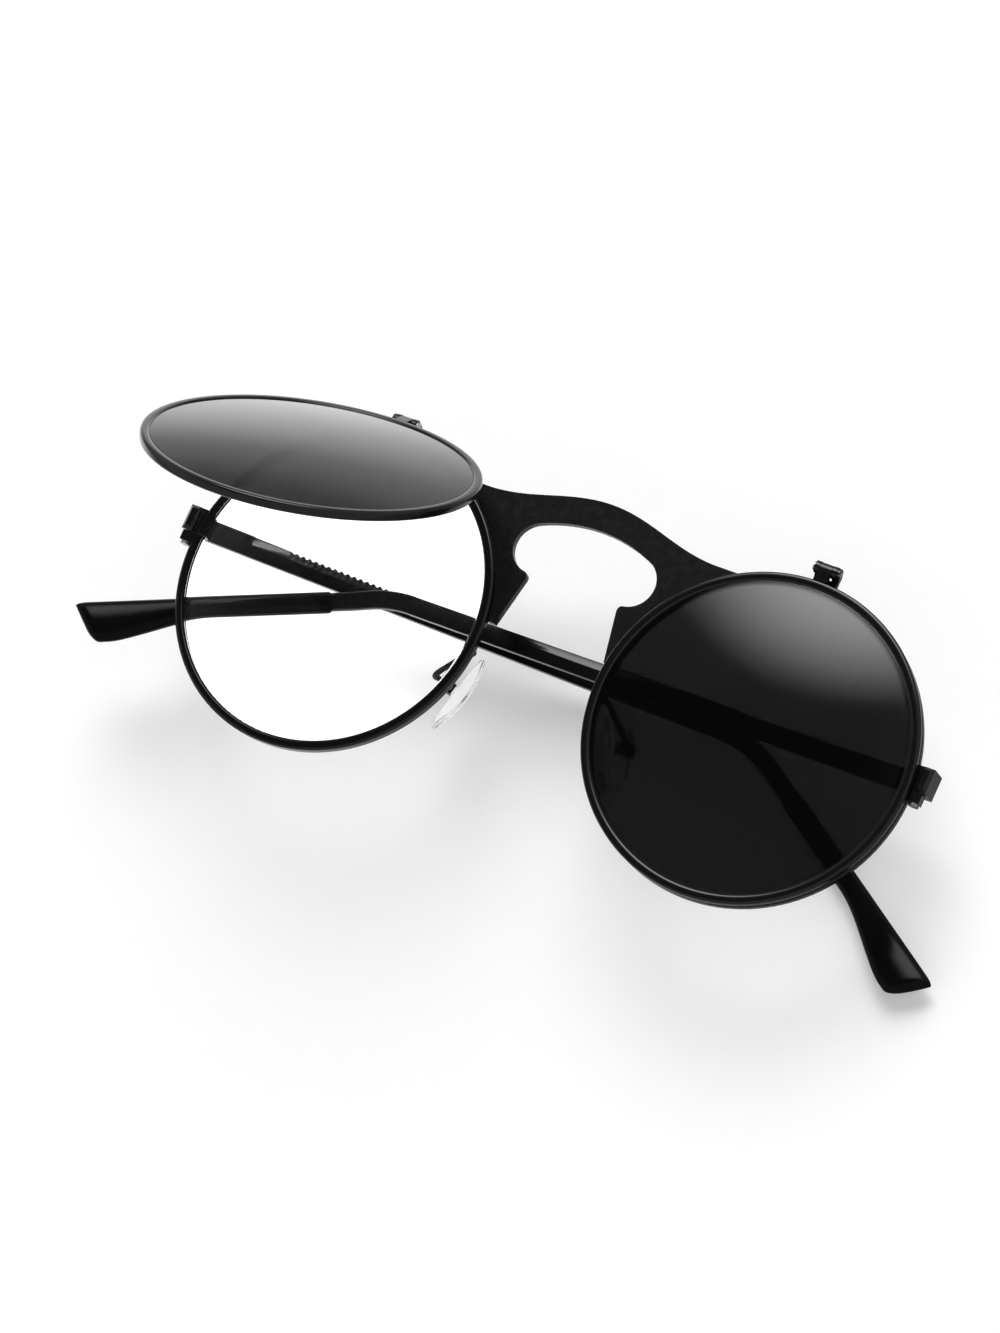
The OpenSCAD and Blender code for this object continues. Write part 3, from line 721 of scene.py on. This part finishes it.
def black_plastic(label, looks):
    """The polished moulded black of the temple tips."""
    return coated(
        label,
        looks.tip_color,
        looks.tip_roughness,
        grain_scale=700.0,
        bump=0.03,
        wear_color=(0.02, 0.02, 0.02),
        wear=0.2,
        specular=0.08,
    )


def screw_steel(label, looks):
    """The bare turned steel of screws and pins."""
    return coated(
        label,
        looks.screw_color,
        looks.screw_roughness,
        grain_scale=2200.0,
        bump=0.3,
        wear_color=(0.5, 0.49, 0.48),
        wear=0.5,
        metallic=1.0,
    )


def clear_lens(label, looks):
    """The clear lenses of the main rims."""
    color = (0.99, 0.995, 0.995)
    return glass(label, color, roughness=0.0, ior=1.45, patch_gain=0.015, bump=0.0, light_level=0.99)


def dark_lens(label, looks):
    """The tinted lenses of the flip frames."""
    color = looks.tint_color
    return glass(label, color, roughness=0.01, ior=1.5, patch_gain=0.02, bump=0.01, light_level=0.85)


def pad_silicone(label, looks):
    """The soft clear silicone of the nose pads."""
    color = looks.pad_color
    return glass(label, color, roughness=0.16, ior=1.42, patch_gain=0.12, bump=0.1, light_level=0.85)


FINISHES = {
    "black_metal": black_metal,
    "plate": plate,
    "black_plastic": black_plastic,
    "screw_steel": screw_steel,
    "clear_lens": clear_lens,
    "dark_lens": dark_lens,
    "pad_silicone": pad_silicone,
}


def finish_material(name):
    """The material of a finish, made the first time it is asked for."""
    label = "sunglasses_" + name
    return bpy.data.materials.get(label) or FINISHES[name](label, bpy.context.scene.sunglasses_finish)


def floor_material():
    """White paper with a fine tooth, which adds a white of its own, and more of it as painted light where it
    is seen through glass; in gloss it is a painted reflection, white near the raised lens and darker further
    away.
    """
    material, tree, shader, output = started("studio_paper")
    tree.nodes.remove(shader)
    place = add(tree, "ShaderNodeTexCoord").outputs["Object"]
    path = add(tree, "ShaderNodeLightPath")
    mirrored = path.outputs["Is Glossy Ray"]
    distance = add(tree, "ShaderNodeVectorMath", operation="DISTANCE", in_1=PAINTED_REFLECTION_FROM)
    tree.links.new(place, distance.inputs[0])
    away = distance.outputs["Value"]
    paper = add(tree, "ShaderNodeBsdfDiffuse")
    color = spread(tree, noise(tree, place, 300.0), 0.3, 0.7, PAPER_COLOR, PAPER_COLOR + PAPER_TOOTH)
    # Painted reflection: in gloss the paper's colour is darkened further from the raised lens
    painted_darkening = calc(tree, "MULTIPLY", mirrored, spread(tree, away, *PAINTED_REFLECTION_DARKENING_FADE, 0.0, PAINTED_REFLECTION_DARKENING))
    color = calc(tree, "MULTIPLY", color, calc(tree, "SUBTRACT", 1.0, painted_darkening))
    tree.links.new(grey(tree, color), paper.inputs["Color"])
    # Painted reflection: in gloss the paper glows white near the raised lens
    near = spread(tree, away, *PAINTED_REFLECTION_WHITE_FADE, PAINTED_REFLECTION_WHITE, 0.0)
    painted_reflection = calc(tree, "MULTIPLY", mirrored, near)
    straight = calc(tree, "MULTIPLY", path.outputs["Is Camera Ray"], PAPER_WHITE)
    # Painted light: seen through glass the paper glows more than seen straight, which lightens the shade
    # under the lenses
    through = calc(tree, "MULTIPLY", path.outputs["Is Transmission Ray"], PAINTED_LIGHT_THROUGH_GLASS)
    glow = add(tree, "ShaderNodeEmission")
    strength = calc(tree, "MAXIMUM", painted_reflection, calc(tree, "MAXIMUM", straight, through))
    tree.links.new(strength, glow.inputs["Strength"])
    both = add(tree, "ShaderNodeAddShader")
    tree.links.new(paper.outputs[0], both.inputs[0])
    tree.links.new(glow.outputs[0], both.inputs[1])
    tree.links.new(both.outputs[0], output.inputs["Surface"])
    return material


# Pieces


def piece(name, shells, node, body, slot, sharp=35):
    """Makes one smooth mesh object of closed shells, which stands for a CAD node and rides on its body."""
    verts, faces, start = [], [], 0
    for points, polygons in shells:
        verts.append(points)
        faces += [[start + corner for corner in polygon] for polygon in polygons]
        start += len(points)
    mesh = bpy.data.meshes.new(name)
    mesh.from_pydata(np.vstack(verts).tolist(), [], faces)
    mesh.polygons.foreach_set("use_smooth", np.ones(len(faces), bool))
    mesh.set_sharp_from_angle(angle=np.radians(sharp))
    mesh.materials.append(finish_material(slot))
    mesh.update()
    made = bpy.data.objects.new(name, mesh)
    bpy.context.collection.objects.link(made)
    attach(made, body)
    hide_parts(node)
    return made


def finish_nodes(finish, *names):
    """Gives CAD nodes their finish: the node of each name, or the left and the right one."""
    for name in names:
        wanted = (name, "left_" + name, "right_" + name)
        found = [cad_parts[node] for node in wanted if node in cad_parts]
        if not found:
            raise RuntimeError("no node is called " + name)
        for made in found:
            for slot in made.material_slots:
                slot.material = finish_material(finish)


# Values a user would change


class SunglassesSizes(bpy.types.PropertyGroup):
    """Sizes of the pieces that are made here."""

    flip_radius: bpy.props.FloatProperty(
        name="Flip rim radius",
        description="Outside radius of a flip rim",
        default=0.0261,
        subtype="DISTANCE",
        unit="LENGTH",
    )
    flip_width: bpy.props.FloatProperty(
        name="Flip wire width",
        description="Radial width of the flip rim wire",
        default=0.0015,
        subtype="DISTANCE",
        unit="LENGTH",
    )
    flip_depth: bpy.props.FloatProperty(
        name="Flip wire depth",
        description="Depth of the flip rim wire",
        default=0.0016,
        subtype="DISTANCE",
        unit="LENGTH",
    )
    lens_dome: bpy.props.FloatProperty(
        name="Lens dome",
        description="Radius of the dome of each lens",
        default=0.15,
        subtype="DISTANCE",
        unit="LENGTH",
    )
    clear_thickness: bpy.props.FloatProperty(
        name="Clear lens thickness",
        description="Thickness of a clear lens",
        default=0.0015,
        subtype="DISTANCE",
        unit="LENGTH",
    )
    tint_thickness: bpy.props.FloatProperty(
        name="Dark lens thickness",
        description="Thickness of a tinted lens",
        default=0.0011,
        subtype="DISTANCE",
        unit="LENGTH",
    )
    pad_length: bpy.props.FloatProperty(
        name="Pad length",
        description="Length of a nose pad",
        default=0.013,
        subtype="DISTANCE",
        unit="LENGTH",
    )
    pad_width: bpy.props.FloatProperty(
        name="Pad width",
        description="Width of a nose pad",
        default=0.007,
        subtype="DISTANCE",
        unit="LENGTH",
    )
    pad_thickness: bpy.props.FloatProperty(
        name="Pad thickness",
        description="Thickness of a nose pad",
        default=0.002,
        subtype="DISTANCE",
        unit="LENGTH",
    )
    arm_radius: bpy.props.FloatProperty(
        name="Pad arm radius",
        description="Radius of the pad arm wire",
        default=0.0005,
        subtype="DISTANCE",
        unit="LENGTH",
    )
    rib_depth: bpy.props.FloatProperty(
        name="Rib depth",
        description="Depth of the ribs along a temple's upper edge",
        default=0.00028,
        subtype="DISTANCE",
        unit="LENGTH",
    )
    tip_width: bpy.props.FloatProperty(
        name="Tip width",
        description="Width of a temple tip at its end",
        default=0.0066,
        subtype="DISTANCE",
        unit="LENGTH",
    )
    tip_thickness: bpy.props.FloatProperty(
        name="Tip thickness",
        description="Thickness of a temple tip",
        default=0.0026,
        subtype="DISTANCE",
        unit="LENGTH",
    )


class SunglassesFinish(bpy.types.PropertyGroup):
    """Colours and gloss of the pieces."""

    metal_color: bpy.props.FloatVectorProperty(
        name="Metal",
        description="Colour of the coated metal",
        default=(0.004, 0.004, 0.0042),
        size=3,
        subtype="COLOR",
        min=0,
        max=1,
    )
    metal_roughness: bpy.props.FloatProperty(
        name="Metal roughness",
        description="Roughness of the coated wire",
        default=0.15,
        min=0,
        max=1,
        subtype="FACTOR",
    )
    plate_roughness: bpy.props.FloatProperty(
        name="Plate roughness",
        description="Roughness of the bridge plate",
        default=0.27,
        min=0,
        max=1,
        subtype="FACTOR",
    )
    screw_color: bpy.props.FloatVectorProperty(
        name="Screws",
        description="Colour of the screws and pins",
        default=(0.3, 0.293, 0.285),
        size=3,
        subtype="COLOR",
        min=0,
        max=1,
    )
    screw_roughness: bpy.props.FloatProperty(
        name="Screw roughness",
        description="Roughness of the screws and pins",
        default=0.32,
        min=0,
        max=1,
        subtype="FACTOR",
    )
    tip_color: bpy.props.FloatVectorProperty(
        name="Tips",
        description="Colour of the temple tips",
        default=(0.0035, 0.0035, 0.0035),
        size=3,
        subtype="COLOR",
        min=0,
        max=1,
    )
    tip_roughness: bpy.props.FloatProperty(
        name="Tip roughness",
        description="Roughness of the temple tips",
        default=0.14,
        min=0,
        max=1,
        subtype="FACTOR",
    )
    tint_color: bpy.props.FloatVectorProperty(
        name="Dark lens tint",
        description="What the tinted lens lets through",
        default=(0.01, 0.01, 0.0103),
        size=3,
        subtype="COLOR",
        min=0,
        max=1,
    )
    pad_color: bpy.props.FloatVectorProperty(
        name="Pads",
        description="Colour of the nose pads",
        default=(0.92, 0.93, 0.93),
        size=3,
        subtype="COLOR",
        min=0,
        max=1,
    )


# Operators


class SUNGLASSES_OT_front(bpy.types.Operator):
    """Finishes the bridge plate, the main rims, the end pieces and their screws"""

    bl_idname = "sunglasses.front"
    bl_label = "Finish the front"

    def execute(self, context):
        finish_nodes("plate", "bridge")
        finish_nodes("black_metal", "rim", "endpiece", "front_hinge")
        finish_nodes("screw_steel", "rim_screw", "hinge_screw", "pad_screw")
        return {"FINISHED"}


class SUNGLASSES_OT_temples(bpy.types.Operator):
    """Finishes the temple hinges and core wires, and makes the ribbed bars of the temples"""

    bl_idname = "sunglasses.temples"
    bl_label = "Finish the temples"

    def execute(self, context):
        finish_nodes("black_metal", "temple_core", "temple_hinge")
        depth = context.scene.sunglasses_sizes.rib_depth / MM
        for side in SIDES:
            shell = temple_bar(side, depth)
            node, body = side + "_temple", side + "_temple"
            piece(side + "_temple_bar", [shell], node, body, "black_metal", sharp=18)
        return {"FINISHED"}


class SUNGLASSES_OT_tips(bpy.types.Operator):
    """Makes the smooth plastic tips of the temples"""

    bl_idname = "sunglasses.tips"
    bl_label = "Make the temple tips"

    def execute(self, context):
        sizes = context.scene.sunglasses_sizes
        for side in SIDES:
            shell = temple_tip(side, sizes.tip_width / MM, sizes.tip_thickness / MM)
            node, body = side + "_temple_tip", side + "_temple"
            piece(side + "_tip_sleeve", [shell], node, body, "black_plastic", sharp=60)
        return {"FINISHED"}


class SUNGLASSES_OT_clear_lenses(bpy.types.Operator):
    """Makes the clear lenses of the main rims"""

    bl_idname = "sunglasses.clear_lenses"
    bl_label = "Make the clear lenses"

    def execute(self, context):
        sizes = context.scene.sunglasses_sizes
        thickness, dome = sizes.clear_thickness / MM, sizes.lens_dome / MM
        for side in SIDES:
            shell = domed_lens(CLEAR_LENS_RADIUS, thickness, dome, lens_place(), side)
            piece(side + "_clear_glass", [shell], side + "_lens", "front", "clear_lens")
        return {"FINISHED"}


class SUNGLASSES_OT_flip_hinges(bpy.types.Operator):
    """Finishes the brackets, pins, clips and knuckles of the flip hinges"""

    bl_idname = "sunglasses.flip_hinges"
    bl_label = "Finish the flip hinges"

    def execute(self, context):
        finish_nodes("black_metal", "flip_bracket", "flip_knuckle", "flip_spring")
        finish_nodes("screw_steel", "flip_pin")
        return {"FINISHED"}


class SUNGLASSES_OT_flip_rims(bpy.types.Operator):
    """Makes the wire rims of the flip frames"""

    bl_idname = "sunglasses.flip_rims"
    bl_label = "Make the flip rims"

    def execute(self, context):
        sizes = context.scene.sunglasses_sizes
        radius, width, depth = sizes.flip_radius / MM, sizes.flip_width / MM, sizes.flip_depth / MM
        for side in SIDES:
            shell = wire_ring(radius, width, depth, flip_place(side), side)
            piece(side + "_flip_wire", [shell], side + "_flip_rim", side + "_flip", "black_metal", sharp=60)
        return {"FINISHED"}


class SUNGLASSES_OT_dark_lenses(bpy.types.Operator):
    """Makes the tinted lenses of the flip frames"""

    bl_idname = "sunglasses.dark_lenses"
    bl_label = "Make the dark lenses"

    def execute(self, context):
        sizes = context.scene.sunglasses_sizes
        thickness, dome = sizes.tint_thickness / MM, sizes.lens_dome / MM
        for side in SIDES:
            shell = domed_lens(DARK_LENS_RADIUS, thickness, dome, flip_place(side), side)
            piece(side + "_dark_glass", [shell], side + "_flip_lens", side + "_flip", "dark_lens")
        return {"FINISHED"}


class SUNGLASSES_OT_pads(bpy.types.Operator):
    """Makes the soft nose pads"""

    bl_idname = "sunglasses.pads"
    bl_label = "Make the nose pads"

    def execute(self, context):
        sizes = context.scene.sunglasses_sizes
        length, width, thickness = sizes.pad_length / MM, sizes.pad_width / MM, sizes.pad_thickness / MM
        for side in SIDES:
            shell = nose_pad(side, length, width, thickness)
            piece(side + "_soft_pad", [shell], side + "_nose_pad", side + "_pad", "pad_silicone", sharp=60)
        return {"FINISHED"}


class SUNGLASSES_OT_pad_arms(bpy.types.Operator):
    """Makes the bent wire arms of the pads with their boxes"""

    bl_idname = "sunglasses.pad_arms"
    bl_label = "Make the pad arms"

    def execute(self, context):
        radius = context.scene.sunglasses_sizes.arm_radius / MM
        for side in SIDES:
            shells = [pad_arm(side, radius), arm_box(side)]
            piece(side + "_arm_wire", shells, side + "_pad_arm", "front", "black_metal")
        return {"FINISHED"}


# Stage


def studio_floor():
    """A square floor just below the glasses."""
    low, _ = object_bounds()
    half, level = FLOOR_HALF, low.z - FLOOR_GAP
    mesh = bpy.data.meshes.new("floor")
    corners = [(-half, -half, level), (half, -half, level), (half, half, level), (-half, half, level)]
    mesh.from_pydata(corners, [], [(0, 1, 2, 3)])
    mesh.materials.append(floor_material())
    floor = bpy.data.objects.new("floor", mesh)
    bpy.context.collection.objects.link(floor)
    floor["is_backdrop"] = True


def toward(tree, ray, direction, low, high):
    """How nearly a ray points in a direction: their cosine, spread from 0 to 1 between two cosines."""
    node = add(tree, "ShaderNodeVectorMath", operation="DOT_PRODUCT")
    node.inputs[1].default_value = Vector(direction).normalized()
    tree.links.new(ray, node.inputs[0])
    return spread(tree, node.outputs["Value"], low, high)


def studio_sky():
    """World light: a white tent with a dark opening overhead and one soft bright panel beside it."""
    world = bpy.data.worlds.new("studio")
    world.use_nodes = True
    tree = world.node_tree
    ray = add(tree, "ShaderNodeTexCoord").outputs["Generated"]
    opening = toward(tree, ray, OPENING, *OPENING_FADE)
    panel = toward(tree, ray, PANEL, *PANEL_FADE)
    tent = calc(tree, "ADD", calc(tree, "MULTIPLY", opening, OPENING_LEVEL - TENT_LEVEL), TENT_LEVEL)
    level = calc(tree, "ADD", tent, calc(tree, "MULTIPLY", panel, PANEL_LEVEL))
    background = tree.nodes["Background"]
    tree.links.new(grey(tree, level), background.inputs["Color"])
    background.inputs["Strength"].default_value = 1.0
    bpy.context.scene.world = world


def photo_camera():
    """The camera that sees the glasses as the photograph does: its axes are the columns of its turn."""
    camera = bpy.data.cameras.new("camera")
    camera.sensor_fit = "VERTICAL"
    camera.sensor_width = CAMERA_SENSOR
    camera.sensor_height = CAMERA_SENSOR
    camera.lens = CAMERA_LENS
    camera.clip_start, camera.clip_end = 0.05, 20
    made = bpy.data.objects.new("camera", camera)
    bpy.context.collection.objects.link(made)
    turn = Matrix((CAMERA_RIGHT, CAMERA_UP, [-part for part in CAMERA_AHEAD])).transposed()
    made.matrix_world = Matrix.Translation(CAMERA_PLACE) @ turn.to_4x4()
    bpy.context.scene.camera = made


class SUNGLASSES_OT_stage(bpy.types.Operator):
    """Makes the white floor, the sky that lights it and the camera"""

    bl_idname = "sunglasses.stage"
    bl_label = "Set the stage"

    def execute(self, context):
        studio_floor()
        studio_sky()
        photo_camera()
        context.scene.view_settings.view_transform = "Standard"
        return {"FINISHED"}


OPERATORS = (
    SUNGLASSES_OT_front,
    SUNGLASSES_OT_temples,
    SUNGLASSES_OT_tips,
    SUNGLASSES_OT_clear_lenses,
    SUNGLASSES_OT_flip_hinges,
    SUNGLASSES_OT_flip_rims,
    SUNGLASSES_OT_dark_lenses,
    SUNGLASSES_OT_pads,
    SUNGLASSES_OT_pad_arms,
    SUNGLASSES_OT_stage,
)


class SUNGLASSES_PT_panel(bpy.types.Panel):
    """Lists the values and the steps that dress the sunglasses"""

    bl_idname = "SUNGLASSES_PT_panel"
    bl_label = "Flip Up Sunglasses"
    bl_space_type = "VIEW_3D"
    bl_region_type = "UI"
    bl_category = "Sunglasses"

    def draw(self, context):
        column = self.layout.column()
        for group in (context.scene.sunglasses_sizes, context.scene.sunglasses_finish):
            for name in group.bl_rna.properties.keys():
                if name not in ("rna_type", "name"):
                    column.prop(group, name)
        for step in OPERATORS:
            column.operator(step.bl_idname)


CLASSES = (SunglassesSizes, SunglassesFinish, *OPERATORS, SUNGLASSES_PT_panel)


def register():
    """Adds the classes and the values to Blender."""
    for made in CLASSES:
        bpy.utils.register_class(made)
    bpy.types.Scene.sunglasses_sizes = bpy.props.PointerProperty(type=SunglassesSizes)
    bpy.types.Scene.sunglasses_finish = bpy.props.PointerProperty(type=SunglassesFinish)


def unregister():
    """Takes the classes and the values out of Blender again."""
    del bpy.types.Scene.sunglasses_finish
    del bpy.types.Scene.sunglasses_sizes
    for made in reversed(CLASSES):
        bpy.utils.unregister_class(made)


def main():
    """Runs every step in order."""
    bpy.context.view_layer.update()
    register()
    bpy.ops.sunglasses.front()
    bpy.ops.sunglasses.temples()
    bpy.ops.sunglasses.tips()
    bpy.ops.sunglasses.clear_lenses()
    bpy.ops.sunglasses.flip_hinges()
    bpy.ops.sunglasses.flip_rims()
    bpy.ops.sunglasses.dark_lenses()
    bpy.ops.sunglasses.pads()
    bpy.ops.sunglasses.pad_arms()
    bpy.ops.sunglasses.stage()


if __name__ == "__main__":
    main()
